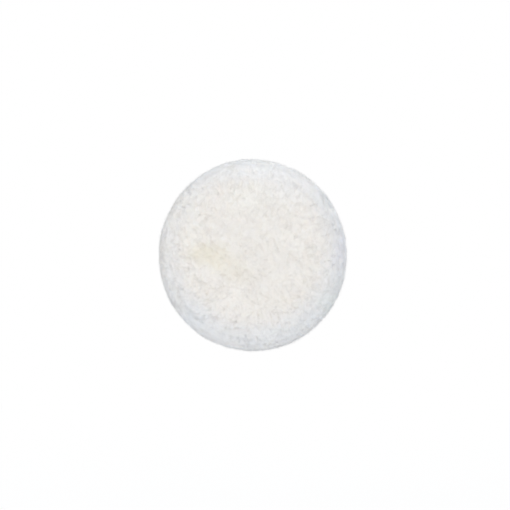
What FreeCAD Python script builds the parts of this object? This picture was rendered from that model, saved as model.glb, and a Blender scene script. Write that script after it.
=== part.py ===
# Napped wool felt polishing wheel, 100 mm, on a hook-and-loop backing plate with an M14 hub and a
# 10 mm arbor. Millimetres throughout.
#
# Every piece is drawn about a local z axis, the spin axis, and swung onto +Y when it is saved.
# Front is -z, where the polishing face is; the shank points back, to +z. z = 0 is half way along.
# In an outline, each point is (radius, z).
import FreeCAD, Part
import math
import os

from FreeCAD import Vector

os.makedirs("parts", exist_ok=True)

# ---------------------------------------------------------------- driving dimensions
HALF_LENGTH = 43.0            # face to origin, and origin to the end of the shank
PLAY = 0.05                   # gap between neighbouring pieces
FILM_GAP = 0.02               # gap between bonded or clamped layers
LATEX_GAP = 0.01              # gap on each side of the latex

# wool nap
WHEEL_R = 50.0
NAP_FLAT_R = 26.0             # the working face is flat out to here
NAP_SHOULDER_Z = -30.0        # where the shoulder reaches the full radius
NAP_SIDE_Z = -26.0            # full radius ends, the nap rolls in behind
NAP_LIP_Z = -17.0             # rear edge of the nap
NAP_LIP_R = 45.0
NAP_LIP_BEVEL = 0.9

# sewn pad
CLOTH_T = 0.8
CLOTH_FRONT_Z = -28.0
CLOTH_R = 42.6
CLOTH_FRONT_ROUND = 1.2
CLOTH_BACK_BEVEL = 0.6
HEM_R = 34.0                  # inner radius of the turned-in hem
HEM_CLEARANCE = 0.15
LATEX_T = 0.5
CORE_BACK_Z = -20.3           # rear of the core and of the hem
CORE_BEVEL = 0.4
LOOP_T = 1.4
LOOP_R = 42.4
LOOP_BEVEL = 0.3
STITCH_R = 41.3               # radius of the stitch line
STITCH_COUNT = 60
STITCH_FILL = 0.82            # share of the stitch spacing that is thread
THREAD_R = 0.3
SEAM_DEPTH = 0.35
SEAM_HALF_W = 0.4

# hook sheet, foam and glass-fibre disc
HOOK_R = 40.0
HOOK_T = 1.6
HOOK_BEVEL = 0.3
BOND_T = 0.25                 # adhesive film on each side of the foam
FOAM_FRONT_R = 40.0
FOAM_WAIST_R = 38.3
FOAM_BACK_R = 38.6
FOAM_FRONT_BEVEL = 0.8
FOAM_BACK_BEVEL = 0.6
GLASS_T = 1.0
GLASS_R = 38.4
GLASS_BEVEL = 0.15

# backing plate
PLATE_FRONT_Z = -7.2
PLATE_R = 38.0
PLATE_WEB_T = 3.5
PLATE_SKIN_T = 1.5            # plastic left in front of the hub
PLATE_FRONT_BEVEL = 0.5
RIM_W = 3.0
RIM_OUT_BEVEL = 0.6
RIM_BEVEL = 0.4               # inner edge of the rim, and both edges of the boss
RIB_COUNT = 8
RIB_PHASE = 22.5              # degrees from +x to the first rib
RIB_T = 2.4
RIM_H = 2.4                   # rim and boss above the web
RIB_DROP = 0.5                # rib tops below the rim
RIB_SINK = 0.3                # rib let into the web
RIB_END_LAP = 0.6             # rib let into the rim and the boss
BOSS_IN_R = 19.2
BOSS_OUT_R = 21.8
POCKET_DEPTH = 2.5

# steel hub, rivets and rivet ring
HUB_R = 11.0
HUB_REAR_Z = 6.0
HUB_FRONT_BEVEL = 0.5
HUB_REAR_BEVEL = 0.7
HUB_FOOT_BEVEL = 0.8          # slope between flange and rear barrel
HUB_FLANGE_R = 19.0
HUB_FLANGE_T = 2.0
FLANGE_FRONT_BEVEL = 0.3
FLANGE_BACK_BEVEL = 0.4
HUB_FLATS_AF = 19.0
FLATS_LIFT = 0.9              # flats start this far behind the flange
POCKET_IN_R = HUB_R + 0.6
RING_T = 1.0
RING_CLEARANCE = 0.2          # radial gap between ring and pocket walls
RIVET_COUNT = 6
RIVET_PCD = 30.0
RIVET_R = 2.0
RIVET_HEAD_R = 3.3
RIVET_DOME_H = 1.4
RIVET_FLAT_H = 1.1
RIVET_BEVEL = 0.4
RIVET_TAIL_GAP = 0.03

# M14 x 2 thread
PITCH = 2.0
MALE_MAJOR_R = 6.95
MALE_ROOT_R = 5.77
MALE_CREST_W = 0.31
FEMALE_MINOR_R = 5.92
FEMALE_ROOT_R = 7.10
THREAD_GAP = 0.15
TAP_PITCHES = 7               # tapped length behind the stud's tip
MOUTH_R = 7.3                 # clearance counterbore at the hub's mouth
MOUTH_DEPTH = 0.7
MOUTH_BEVEL = 0.5
RELIEF_R = 5.6                # thread relief under the arbor's flange
RELIEF_L = 1.8
POINT_L = 0.6                 # short plain point ahead of the thread
POINT_BEVEL_R = 0.9
POINT_BEVEL_L = 0.5

# washer and arbor
WASHER_T = 1.0
WASHER_R = 11.0
WASHER_BORE_R = 7.2
WASHER_BEVEL = 0.2
STUD_TIP_Z = -4.4             # start of the thread on the stud
FLANGE_R = 12.0
FLANGE_T = 2.0
HEX_AF = 17.0
HEX_H = 6.0
HEX_BEVEL_H = 0.7
HEX_FACE_INSET = 0.2          # bevel ends this far inside the flats
SHANK_R = 5.0
SHANK_FLARE = 1.0             # cone at the foot of the shank
SHANK_CHAMFER = 0.8
STUD_LAP = 0.2                # relief run into the flange
BODY_LAP = 0.4                # hexagon run into the flange, shank into the hexagon

# ---------------------------------------------------------------- shared radii and z stations
CLOTH_IN_R = CLOTH_R - CLOTH_T
CORE_R = CLOTH_IN_R - PLAY
HEM_FRONT_Z = CORE_BACK_Z - CLOTH_T
LATEX_Z = CLOTH_FRONT_Z + CLOTH_T + LATEX_GAP
LATEX_BACK_Z = LATEX_Z + LATEX_T
LOOP_Z = CORE_BACK_Z + FILM_GAP
LOOP_BACK_Z = LOOP_Z + LOOP_T
SEAM_Z = LOOP_BACK_Z - SEAM_DEPTH
HOOK_Z = LOOP_BACK_Z + PLAY
HOOK_BACK_Z = HOOK_Z + HOOK_T
HOOK_FILM_Z = HOOK_BACK_Z + FILM_GAP

GLASS_Z = PLATE_FRONT_Z - FILM_GAP - GLASS_T
FOAM_FILM_Z = GLASS_Z - FILM_GAP - BOND_T
FOAM_Z = HOOK_FILM_Z + BOND_T + FILM_GAP
FOAM_BACK_Z = FOAM_FILM_Z - FILM_GAP

WEB_BACK_Z = PLATE_FRONT_Z + PLATE_WEB_T
POCKET_Z = PLATE_FRONT_Z + POCKET_DEPTH
SOCKET_Z = PLATE_FRONT_Z + PLATE_SKIN_T
RING_Z = POCKET_Z - PLAY - RING_T
HUB_FLANGE_Z = WEB_BACK_Z + FILM_GAP
HUB_FLANGE_BACK_Z = HUB_FLANGE_Z + HUB_FLANGE_T

SEAT_Z = HUB_REAR_Z + WASHER_T
HEX_Z = SEAT_Z + FLANGE_T
HEX_BACK_Z = HEX_Z + HEX_H

CENTRE = Vector(0, 0, 0)
AXIS = Vector(0, 0, 1)
TAN_30 = math.tan(math.radians(30))
COS_30 = math.cos(math.radians(30))


# ---------------------------------------------------------------- helpers
def turned(path):
    """Solid of revolution from a closed run of points. A list inside it is a smooth curve that
    starts at the last point and passes through the list. Repeated points are skipped."""
    edges = []
    last = path[0]
    for item in path[1:] + [path[0]]:
        if isinstance(item, list):
            curve = Part.BSplineCurve()
            curve.interpolate([Vector(r, 0, z) for r, z in [last] + item])
            edges.append(curve.toShape())
            last = item[-1]
        elif item != last:
            edges.append(Part.makeLine(Vector(last[0], 0, last[1]), Vector(item[0], 0, item[1])))
            last = item
    return Part.Face(Part.Wire(edges)).revolve(CENTRE, AXIS, 360)


def ring(inner_r, outer_r, z0, z1, front_bevel=0, back_bevel=0):
    """Flat ring, or a disc when inner_r is 0, with its outer edges bevelled at 45 degrees."""
    return turned([
        (inner_r, z0), (outer_r - front_bevel, z0), (outer_r, z0 + front_bevel),
        (outer_r, z1 - back_bevel), (outer_r - back_bevel, z1), (inner_r, z1)])


def ellipse_arc(centre, semi_axes, start, end, count):
    """Points on an ellipse from angle start to end in degrees, leaving out the first."""
    angles = [math.radians(start + (end - start) * i / count) for i in range(1, count + 1)]
    return [(centre[0] + semi_axes[0] * math.cos(a), centre[1] + semi_axes[1] * math.sin(a))
            for a in angles]


def around(shape, count, phase=0.0):
    """Copies of a shape evenly spaced about the spin axis."""
    copies = []
    for i in range(count):
        copy = shape.copy()
        copy.rotate(CENTRE, AXIS, phase + 360.0 * i / count)
        copies.append(copy)
    return copies


def screw(root_r, crest_r, crest_w, z0, z1):
    """Single-start right-hand 60 degree thread, root and crest together, cut off flat at both ends.
    Every cross section is the same closed curve, turned once a pitch. The crest is at +x at z0."""
    flank = (crest_r - root_r) * TAN_30
    crest_a = math.pi * crest_w / PITCH
    foot_a = crest_a + 2 * math.pi * flank / PITCH

    def point(r, a):
        return Vector(r * math.cos(a), r * math.sin(a), z0)

    def arc(r, a0, a1):
        return Part.Arc(point(r, a0), point(r, (a0 + a1) / 2.0), point(r, a1)).toShape()

    def spiral(r0, a0, r1, a1):
        curve = Part.BSplineCurve()
        curve.interpolate([point(r0 + (r1 - r0) * i / 8.0, a0 + (a1 - a0) * i / 8.0)
                           for i in range(9)])
        return curve.toShape()

    # the root is two arcs that meet opposite the crest
    section = Part.Wire([
        arc(crest_r, -crest_a, crest_a),
        spiral(crest_r, crest_a, root_r, foot_a),
        arc(root_r, foot_a, math.pi),
        arc(root_r, math.pi, 2 * math.pi - foot_a),
        spiral(root_r, 2 * math.pi - foot_a, crest_r, 2 * math.pi - crest_a)])
    # the helix only steers the section's turning, so its radius just has to clear the thread
    helix = Part.makeHelix(PITCH, z1 - z0, 12.0)
    helix.translate(Vector(0, 0, z0))
    spine = Part.Wire([Part.makeLine(Vector(0, 0, z0), Vector(0, 0, z1))])
    pipe = Part.BRepOffsetAPI.MakePipeShell(spine)
    pipe.setAuxiliarySpine(Part.Wire(helix.Edges), True, 0)
    pipe.add(section)
    pipe.build()
    pipe.makeSolid()
    return pipe.shape()


def cut_rivet_holes(shape):
    hole = Part.makeCylinder(RIVET_R + PLAY, 20, Vector(RIVET_PCD / 2.0, 0, -12))
    for h in around(hole, RIVET_COUNT):
        shape = shape.cut(h)
    return shape


def save(name, shape):
    """Swing local z onto +Y and write the STEP file."""
    placed = shape.copy()
    placed.rotate(CENTRE, Vector(1, 0, 0), -90)
    if not placed.isValid():
        raise RuntimeError(name + " is not a valid solid")
    placed.exportStep("parts/" + name + ".step")


# ---------------------------------------------------------------- sewn pad
def wool_pile():
    """Thick cap of wool: flat face, full shoulder, and a lip that rolls in behind the pad."""
    face_z = -HALF_LENGTH
    inner_r = CLOTH_R + PLAY
    inner_z = CLOTH_FRONT_Z - PLAY
    shoulder = ellipse_arc((NAP_FLAT_R, NAP_SHOULDER_Z),
                           (WHEEL_R - NAP_FLAT_R, NAP_SHOULDER_Z - face_z), -90, 0, 12)
    side_turn = ellipse_arc((NAP_LIP_R, NAP_SIDE_Z),
                            (WHEEL_R - NAP_LIP_R, NAP_LIP_Z - NAP_SIDE_Z), 0, 90, 8)
    return turned([
        (0, face_z), (NAP_FLAT_R, face_z), shoulder, (WHEEL_R, NAP_SIDE_Z), side_turn,
        (inner_r + NAP_LIP_BEVEL, NAP_LIP_Z), (inner_r, NAP_LIP_Z - NAP_LIP_BEVEL),
        (inner_r, inner_z), (0, inner_z)])


def carrier_cloth():
    """Knitted cap over the felt core, its hem turned in over the back of the core."""
    edge = CLOTH_FRONT_ROUND
    front_round = ellipse_arc((CLOTH_R - edge, CLOTH_FRONT_Z + edge), (edge, edge), -90, 0, 5)
    return turned([
        (0, CLOTH_FRONT_Z), (CLOTH_R - edge, CLOTH_FRONT_Z), front_round,
        (CLOTH_R, CORE_BACK_Z - CLOTH_BACK_BEVEL), (CLOTH_R - CLOTH_BACK_BEVEL, CORE_BACK_Z),
        (HEM_R, CORE_BACK_Z), (HEM_R, HEM_FRONT_Z), (CLOTH_IN_R, HEM_FRONT_Z),
        (CLOTH_IN_R, CLOTH_FRONT_Z + CLOTH_T), (0, CLOTH_FRONT_Z + CLOTH_T)])


def latex_backcoat():
    """Thin coat between cloth and core, with the bevel of its front edge equal both ways."""
    return ring(0, CORE_R, LATEX_Z, LATEX_BACK_Z, front_bevel=0.25)


def felt_core():
    """Pressed felt disc, stepped at the back where the hem sits on it."""
    front_z = LATEX_BACK_Z + LATEX_GAP
    step_z = HEM_FRONT_Z - FILM_GAP
    step_r = HEM_R - HEM_CLEARANCE
    return turned([
        (0, front_z), (CORE_R - CORE_BEVEL, front_z), (CORE_R, front_z + CORE_BEVEL),
        (CORE_R, step_z), (step_r, step_z), (step_r, CORE_BACK_Z), (0, CORE_BACK_Z)])


def loop_disc():
    """Loop fabric over core and hem, with a shallow channel pressed in its back by the seam."""
    seam_out_r = STITCH_R + SEAM_HALF_W
    seam_in_r = STITCH_R - SEAM_HALF_W
    return turned([
        (0, LOOP_Z), (LOOP_R - LOOP_BEVEL, LOOP_Z), (LOOP_R, LOOP_Z + LOOP_BEVEL),
        (LOOP_R, LOOP_BACK_Z - LOOP_BEVEL), (LOOP_R - LOOP_BEVEL, LOOP_BACK_Z),
        (seam_out_r, LOOP_BACK_Z), (seam_out_r, SEAM_Z), (seam_in_r, SEAM_Z),
        (seam_in_r, LOOP_BACK_Z), (0, LOOP_BACK_Z)])


def hem_stitching():
    """Short runs of thread lying in the channel."""
    thread_centre = Vector(STITCH_R, 0, SEAM_Z + THREAD_R + FILM_GAP)
    section = Part.Face(Part.Wire(Part.makeCircle(THREAD_R, thread_centre, Vector(0, 1, 0))))
    stitch = section.revolve(CENTRE, AXIS, 360.0 / STITCH_COUNT * STITCH_FILL)
    return Part.makeCompound(around(stitch, STITCH_COUNT))


# ---------------------------------------------------------------- hook sheet, foam and glass
def hook_disc():
    return ring(0, HOOK_R, HOOK_Z, HOOK_BACK_Z, front_bevel=HOOK_BEVEL)


def hook_bond_film():
    """Adhesive between hook sheet and foam."""
    return ring(0, HOOK_R - 0.4, HOOK_FILM_Z, HOOK_FILM_Z + BOND_T)


def foam_bond_film():
    """Adhesive between foam and glass-fibre disc."""
    return ring(0, FOAM_BACK_R - 0.7, FOAM_FILM_Z, FOAM_FILM_Z + BOND_T)


def foam_cushion():
    """Moulded foam with a slightly waisted side."""
    mid_z = (FOAM_Z + FOAM_BACK_Z) / 2.0
    waist = [(FOAM_WAIST_R + 0.55, mid_z - 2.0), (FOAM_WAIST_R, mid_z + 0.6),
             (FOAM_BACK_R, FOAM_BACK_Z - FOAM_BACK_BEVEL)]
    return turned([
        (0, FOAM_Z), (FOAM_FRONT_R - FOAM_FRONT_BEVEL, FOAM_Z),
        (FOAM_FRONT_R, FOAM_Z + FOAM_FRONT_BEVEL), waist,
        (FOAM_BACK_R - FOAM_BACK_BEVEL, FOAM_BACK_Z), (0, FOAM_BACK_Z)])


def glass_fibre_disc():
    """Flat laminate over the front of the plate, so the foam is bonded to an unbroken face."""
    return ring(0, GLASS_R, GLASS_Z, GLASS_Z + GLASS_T, GLASS_BEVEL, GLASS_BEVEL)


# ---------------------------------------------------------------- backing plate and hub
def backing_plate():
    """Web with raised rim and boss behind, radial ribs between them, a blind socket for the hub,
    and an annular pocket in front for the rivet ring and rivet heads."""
    top_z = WEB_BACK_Z + RIM_H
    rim_in_r = PLATE_R - RIM_W
    socket_r = HUB_R + PLAY
    plate = turned([
        (0, PLATE_FRONT_Z), (PLATE_R - PLATE_FRONT_BEVEL, PLATE_FRONT_Z),
        (PLATE_R, PLATE_FRONT_Z + PLATE_FRONT_BEVEL),
        (PLATE_R, top_z - RIM_OUT_BEVEL), (PLATE_R - RIM_OUT_BEVEL, top_z),
        (rim_in_r + RIM_BEVEL, top_z), (rim_in_r, top_z - RIM_BEVEL), (rim_in_r, WEB_BACK_Z),
        (BOSS_OUT_R, WEB_BACK_Z), (BOSS_OUT_R, top_z - RIM_BEVEL), (BOSS_OUT_R - RIM_BEVEL, top_z),
        (BOSS_IN_R + RIM_BEVEL, top_z), (BOSS_IN_R, top_z - RIM_BEVEL), (BOSS_IN_R, WEB_BACK_Z),
        (socket_r, WEB_BACK_Z), (socket_r, SOCKET_Z), (0, SOCKET_Z)])
    rib_in = BOSS_OUT_R - RIB_END_LAP
    rib_out = rim_in_r + RIB_END_LAP
    rib = Part.makeBox(rib_out - rib_in, RIB_T, RIM_H + RIB_SINK - RIB_DROP,
                       Vector(rib_in, -RIB_T / 2.0, WEB_BACK_Z - RIB_SINK))
    for r in around(rib, RIB_COUNT, RIB_PHASE):
        plate = plate.fuse(r)
    plate = plate.cut(ring(POCKET_IN_R, BOSS_IN_R, PLATE_FRONT_Z - 1, POCKET_Z))
    return cut_rivet_holes(plate).removeSplitter()


def rivet_ring():
    """Flat drilled ring in the front pocket of the plate."""
    return cut_rivet_holes(ring(POCKET_IN_R + RING_CLEARANCE, BOSS_IN_R - RING_CLEARANCE,
                                RING_Z, RING_Z + RING_T))


def hub_insert():
    """Barrel in the plate's socket, round flange behind the web, two spanner flats, M14 x 2."""
    front_z = SOCKET_Z + PLAY
    flange_z, back_z = HUB_FLANGE_Z, HUB_FLANGE_BACK_Z
    hub = turned([
        (0, front_z), (HUB_R - HUB_FRONT_BEVEL, front_z), (HUB_R, front_z + HUB_FRONT_BEVEL),
        (HUB_R, flange_z), (HUB_FLANGE_R - FLANGE_FRONT_BEVEL, flange_z),
        (HUB_FLANGE_R, flange_z + FLANGE_FRONT_BEVEL), (HUB_FLANGE_R, back_z - FLANGE_BACK_BEVEL),
        (HUB_FLANGE_R - FLANGE_BACK_BEVEL, back_z), (HUB_R + HUB_FOOT_BEVEL, back_z),
        (HUB_R, back_z + HUB_FOOT_BEVEL), (HUB_R, HUB_REAR_Z - HUB_REAR_BEVEL),
        (HUB_R - HUB_REAR_BEVEL, HUB_REAR_Z), (0, HUB_REAR_Z)])
    flat = Part.makeBox(10, 40, HUB_REAR_Z + 5,
                        Vector(HUB_FLATS_AF / 2.0, -20, back_z + FLATS_LIFT))
    for f in around(flat, 2):
        hub = hub.cut(f)
    hub = cut_rivet_holes(hub)

    # counterbore at the mouth, bevelled at the rear face
    mouth_z = HUB_REAR_Z - MOUTH_DEPTH
    hub = hub.cut(turned([
        (0, HUB_REAR_Z + 1), (MOUTH_R + MOUTH_BEVEL, HUB_REAR_Z + 1),
        (MOUTH_R + MOUTH_BEVEL, HUB_REAR_Z), (MOUTH_R, HUB_REAR_Z - MOUTH_BEVEL),
        (MOUTH_R, mouth_z), (0, mouth_z)]))

    # starts a whole pitch ahead of the stud's thread, so that the two stay in phase
    crest_w = (MALE_CREST_W + 2 * THREAD_GAP / COS_30
               - 2 * (FEMALE_ROOT_R - MALE_MAJOR_R) * TAN_30)
    return hub.cut(screw(FEMALE_MINOR_R, FEMALE_ROOT_R, crest_w,
                         STUD_TIP_Z - PITCH, STUD_TIP_Z + TAP_PITCHES * PITCH))


def hub_rivets():
    """Flat head in front of the ring, shank through ring, plate and flange, domed head behind."""
    seat_z = RING_Z - PLAY
    front_z = seat_z - RIVET_FLAT_H
    tail_z = HUB_FLANGE_BACK_Z + RIVET_TAIL_GAP
    dome = ellipse_arc((0, tail_z), (RIVET_HEAD_R, RIVET_DOME_H), 0, 90, 4)
    rivet = turned([
        (0, front_z), (RIVET_HEAD_R - RIVET_BEVEL, front_z),
        (RIVET_HEAD_R, front_z + RIVET_BEVEL), (RIVET_HEAD_R, seat_z),
        (RIVET_R, seat_z), (RIVET_R, tail_z), (RIVET_HEAD_R, tail_z), dome])
    rivet.translate(Vector(RIVET_PCD / 2.0, 0, 0))
    return Part.makeCompound(around(rivet, RIVET_COUNT))


# ---------------------------------------------------------------- washer and arbor
def fibre_washer():
    return ring(WASHER_BORE_R, WASHER_R, HUB_REAR_Z + FILM_GAP, SEAT_Z - FILM_GAP,
                WASHER_BEVEL, WASHER_BEVEL)


def threaded_stud():
    """Thread, plain relief behind it, and a short bevelled point ahead of it."""
    relief_z = SEAT_Z - RELIEF_L
    point_z = STUD_TIP_Z - POINT_L
    stud = screw(MALE_ROOT_R, MALE_MAJOR_R, MALE_CREST_W, STUD_TIP_Z, relief_z)
    stud = stud.fuse(Part.makeCylinder(RELIEF_R, RELIEF_L + STUD_LAP, Vector(0, 0, relief_z)))
    return stud.fuse(turned([
        (0, point_z), (RELIEF_R - POINT_BEVEL_R, point_z), (RELIEF_R, point_z + POINT_BEVEL_L),
        (RELIEF_R, STUD_TIP_Z), (0, STUD_TIP_Z)]))


def hex_body():
    """Hexagon with corners on the x axis, its rear corners bevelled by a turned crown."""
    corner_r = HEX_AF / 2.0 / COS_30
    crown_r = corner_r + 0.1
    z0 = HEX_Z - BODY_LAP
    corners = [Vector(corner_r * math.cos(math.radians(60 * i)),
                      corner_r * math.sin(math.radians(60 * i)), z0) for i in range(7)]
    prism = Part.Face(Part.makePolygon(corners)).extrude(Vector(0, 0, HEX_BACK_Z - z0))
    crown = turned([
        (0, z0), (crown_r, z0), (crown_r, HEX_BACK_Z - HEX_BEVEL_H),
        (HEX_AF / 2.0 - HEX_FACE_INSET, HEX_BACK_Z), (0, HEX_BACK_Z)])
    return prism.common(crown)


def arbor():
    """Threaded stud, round flange that the washer seats on, spanner hexagon, round shank."""
    flange = ring(0, FLANGE_R, SEAT_Z, HEX_Z, front_bevel=0.3, back_bevel=0.5)
    foot_r = SHANK_R + SHANK_FLARE
    foot_z = HEX_BACK_Z - BODY_LAP
    shank = turned([
        (0, foot_z), (foot_r, foot_z), (foot_r, HEX_BACK_Z), (SHANK_R, HEX_BACK_Z + SHANK_FLARE),
        (SHANK_R, HALF_LENGTH - SHANK_CHAMFER), (SHANK_R - SHANK_CHAMFER, HALF_LENGTH),
        (0, HALF_LENGTH)])
    return threaded_stud().fuse(flange).fuse(hex_body()).fuse(shank)


# Each file is named after the function that makes its piece.
for piece in (wool_pile, carrier_cloth, latex_backcoat, felt_core, loop_disc, hem_stitching,
              hook_disc, hook_bond_film, foam_bond_film, foam_cushion, glass_fibre_disc,
              backing_plate, rivet_ring, hub_insert, hub_rivets, fibre_washer, arbor):
    save(piece.__name__, piece())
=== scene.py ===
# A wool buffing pad on its hook-and-loop backing plate.
# The spin axis runs along Y through (CX, CZ), with Z up. The wool face looks towards -Y. Going
# towards +Y, the carrier cloth, loop fabric, hook sheet and foam cushion lie behind it.
import math
from functools import reduce
from itertools import product

import bmesh
import bpy
import numpy as np
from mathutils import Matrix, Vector
from mathutils.kdtree import KDTree


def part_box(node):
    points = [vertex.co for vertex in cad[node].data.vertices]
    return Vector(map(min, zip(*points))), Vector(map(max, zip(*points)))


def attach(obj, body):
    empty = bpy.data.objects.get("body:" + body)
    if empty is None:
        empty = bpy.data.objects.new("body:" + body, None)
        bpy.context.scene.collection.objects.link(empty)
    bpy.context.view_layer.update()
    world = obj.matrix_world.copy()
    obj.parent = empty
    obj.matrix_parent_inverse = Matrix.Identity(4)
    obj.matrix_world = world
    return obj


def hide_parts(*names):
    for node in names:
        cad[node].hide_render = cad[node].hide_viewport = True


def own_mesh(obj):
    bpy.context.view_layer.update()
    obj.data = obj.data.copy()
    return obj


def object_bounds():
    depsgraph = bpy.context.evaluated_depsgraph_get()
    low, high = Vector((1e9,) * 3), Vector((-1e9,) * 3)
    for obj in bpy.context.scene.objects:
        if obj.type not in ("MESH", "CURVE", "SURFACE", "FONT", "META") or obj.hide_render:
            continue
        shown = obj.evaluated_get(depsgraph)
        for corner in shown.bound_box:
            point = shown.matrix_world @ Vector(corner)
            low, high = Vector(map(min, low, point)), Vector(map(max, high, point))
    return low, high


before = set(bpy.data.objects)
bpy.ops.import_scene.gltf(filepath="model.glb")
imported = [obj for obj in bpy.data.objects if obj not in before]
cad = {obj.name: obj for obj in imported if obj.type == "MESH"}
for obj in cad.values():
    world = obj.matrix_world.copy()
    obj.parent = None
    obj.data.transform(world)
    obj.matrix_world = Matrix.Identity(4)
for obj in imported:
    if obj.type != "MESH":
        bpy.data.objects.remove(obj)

cad_box = [list(corner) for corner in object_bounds()]
scene = bpy.context.scene
MM = 0.001


# ------------------------------------------------------------------ sizes taken from the frame
def disc_size(piece):
    """Radius, lowest y and highest y of a round piece."""
    low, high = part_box(piece)
    return (high.x - low.x) / 2, low.y, high.y


NAP_R, FACE_Y, LIP_Y = disc_size("wool_pile")
CLOTH_R, CLOTH_Y0, CLOTH_Y1 = disc_size("carrier_cloth")
LOOP_R, LOOP_Y0, LOOP_Y1 = disc_size("loop_disc")
HOOK_R, HOOK_Y0, HOOK_Y1 = disc_size("hook_disc")
FOAM_R, FOAM_Y0, FOAM_Y1 = disc_size("foam_cushion")
STITCH_R, _, STITCH_Y1 = disc_size("hem_stitching")
SEAM_R = STITCH_R - 0.3 * MM                 # middle of the stitched line
GLASS_R = disc_size("glass_fibre_disc")[0]
FOAM_T = FOAM_Y1 - FOAM_Y0
low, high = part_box("wool_pile")
CX, CZ = (low.x + high.x) / 2, (low.z + high.z) / 2


# ------------------------------------------------------------------ seeded noise on point arrays
def unit(vectors):
    return vectors / np.linalg.norm(vectors, axis=1)[:, None]


def smooth(x, start, end):
    """Eased step from 0 at start to 1 at end; end may be the lower of the two."""
    t = np.clip((x - start) / (end - start), 0, 1)
    return t * t * (3 - 2 * t)


def cell_hash(cell):
    return cell[:, 0] * 73856093 ^ cell[:, 1] * 19349663 ^ cell[:, 2] * 83492791


def perlin(points, scale, seed):
    """Gradient noise in about -1..1, with features one scale long."""
    rng = np.random.default_rng(seed)
    gradients = unit(rng.normal(size=(4096, 3)))
    offset = rng.integers(1, 2 ** 31, 3)[0]
    place = np.asarray(points, float) / scale
    cell = np.floor(place).astype(np.int64)
    part = place - cell
    fade = part * part * part * (part * (part * 6 - 15) + 10)
    out = np.zeros(len(place))
    for corner in product((0, 1), repeat=3):
        hashed = cell_hash(cell + np.array(corner)) + offset
        gradient = gradients[(hashed ^ (hashed >> 13)) & 4095]
        weight = np.where(corner, fade, 1 - fade).prod(1)
        out += (gradient * (part - corner)).sum(1) * weight
    return out * 1.6


def perlin3(points, scale, seed):
    """Three independent noises as a vector field."""
    return np.stack([perlin(points, scale, seed + i) for i in range(3)], 1)


def cells(points, scale, seed):
    """Distance to the nearest and second nearest of a jittered grid of points, in cells."""
    place = np.asarray(points, float) / scale
    cell = np.floor(place).astype(np.int64)
    nearest = np.full(len(place), 9.0)
    second = np.full(len(place), 9.0)
    for step in product((-1, 0, 1), repeat=3):
        near = cell + np.array(step)
        hashed = cell_hash(near) + seed * 7919
        jitter = np.stack([((hashed >> s) ^ (hashed * 2654435761 >> (s + 7))) & 1023
                           for s in (0, 5, 11)], 1) / 1023.0
        away = np.linalg.norm(near + 0.1 + 0.8 * jitter - place, axis=1)
        second = np.where(away < nearest, nearest, np.minimum(second, away))
        nearest = np.minimum(nearest, away)
    return nearest, second


# ------------------------------------------------------------------ mesh helpers
def mesh_object(name, verts, faces, smooth_shade=True):
    mesh = bpy.data.meshes.new(name)
    mesh.from_pydata(np.asarray(verts).tolist(), [], faces)
    mesh.validate()
    mesh.update()
    if smooth_shade:
        mesh.polygons.foreach_set("use_smooth", np.ones(len(mesh.polygons), bool))
    ob = bpy.data.objects.new(name, mesh)
    scene.collection.objects.link(ob)
    return ob


def triangle_object(name, verts, tris):
    """A smooth triangle mesh straight from numpy arrays, for large counts."""
    mesh = bpy.data.meshes.new(name)
    count = len(tris)
    mesh.vertices.add(len(verts))
    mesh.vertices.foreach_set("co", np.asarray(verts, np.float32).ravel())
    mesh.loops.add(count * 3)
    mesh.loops.foreach_set("vertex_index", np.asarray(tris, np.int32).ravel())
    mesh.polygons.add(count)
    mesh.polygons.foreach_set("loop_start", np.arange(0, 3 * count, 3, dtype=np.int32))
    mesh.polygons.foreach_set("loop_total", np.full(count, 3, np.int32))
    mesh.polygons.foreach_set("use_smooth", np.ones(count, bool))
    mesh.update(calc_edges=True)
    ob = bpy.data.objects.new(name, mesh)
    scene.collection.objects.link(ob)
    return ob


def face_outward(ob):
    """Makes every face of a closed mesh look outwards."""
    bm = bmesh.new()
    bm.from_mesh(ob.data)
    bmesh.ops.recalc_face_normals(bm, faces=bm.faces)
    bm.to_mesh(ob.data)
    bm.free()


def lathed(name, profile, steps):
    """Closed body of revolution. profile is (r, y) in metres, from the axis to the axis."""
    verts, rings = [], []
    for r, y in profile:
        if r < 1e-9:
            rings.append([len(verts)])
            verts.append((CX, y, CZ))
        else:
            rings.append(list(range(len(verts), len(verts) + steps)))
            a = np.arange(steps) * 2 * math.pi / steps
            ring = [CX + r * np.cos(a), np.full(steps, y), CZ + r * np.sin(a)]
            verts.extend(np.stack(ring, 1).tolist())
    faces = []
    for a, b in zip(rings[:-1], rings[1:]):
        for i in range(steps):
            j = (i + 1) % steps
            if len(a) == 1 and len(b) > 1:
                faces.append((a[0], b[i], b[j]))
            elif len(b) == 1 and len(a) > 1:
                faces.append((a[i], b[0], a[j]))
            elif len(a) > 1:
                faces.append((a[i], b[i], b[j], a[j]))
    ob = mesh_object(name, verts, faces)
    face_outward(ob)
    return ob


def arc(centre_r, centre_y, half_r, half_y, start, end, steps):
    """(r, y) points along an ellipse between two angles in degrees, without the first point."""
    angles = [math.radians(start + (end - start) * i / steps) for i in range(1, steps + 1)]
    return [(centre_r + half_r * math.cos(a), centre_y + half_y * math.sin(a)) for a in angles]


def subdivided(points, step):
    """Splits a run of (r, y) points so that no piece is longer than step."""
    out = [points[0]]
    for (r0, y0), (r1, y1) in zip(points[:-1], points[1:]):
        count = max(1, int(math.ceil(math.hypot(r1 - r0, y1 - y0) / step)))
        out += [(r0 + (r1 - r0) * i / count, y0 + (y1 - y0) * i / count)
                for i in range(1, count + 1)]
    return out


def coords(ob):
    co = np.zeros(len(ob.data.vertices) * 3)
    ob.data.vertices.foreach_get("co", co)
    return co.reshape(-1, 3)


def set_coords(ob, co):
    ob.data.vertices.foreach_set("co", np.asarray(co, float).ravel())
    ob.data.update()


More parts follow.
